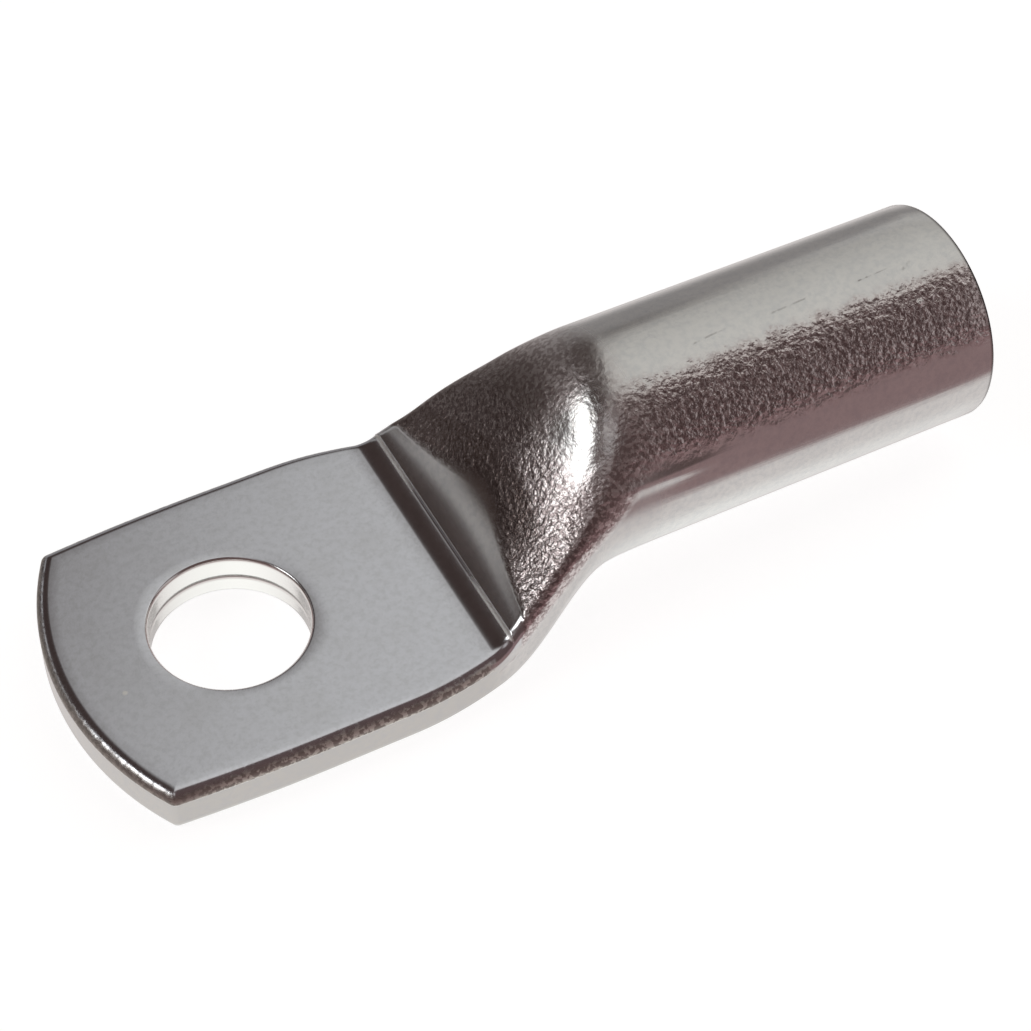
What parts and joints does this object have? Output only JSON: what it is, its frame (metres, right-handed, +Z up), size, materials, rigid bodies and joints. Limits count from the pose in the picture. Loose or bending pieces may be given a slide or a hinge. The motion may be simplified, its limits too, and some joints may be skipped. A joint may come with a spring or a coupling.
{
  "type": "tubular cable lug",
  "caption": "Tubular compression cable lug: round barrel for a stranded conductor, pressed down through an inclined die face to a flat palm with a stud hole.",
  "frame": {"origin": "centre of the stud hole at the palm's underside, which is the contact face", "axes": "+X along the barrel towards its open end, +Z up through the stud hole and out of the palm's upper face, Y across the palm"},
  "size_m": [0.0805, 0.028, 0.019],
  "materials": {
    "tinned_copper": "tin plating over copper, satin on the coined faces and grainy on the bends and the barrel"
  },
  "bodies": {
    "root": {"cable_lug": "tinned_copper"}
  },
  "joints": []
}
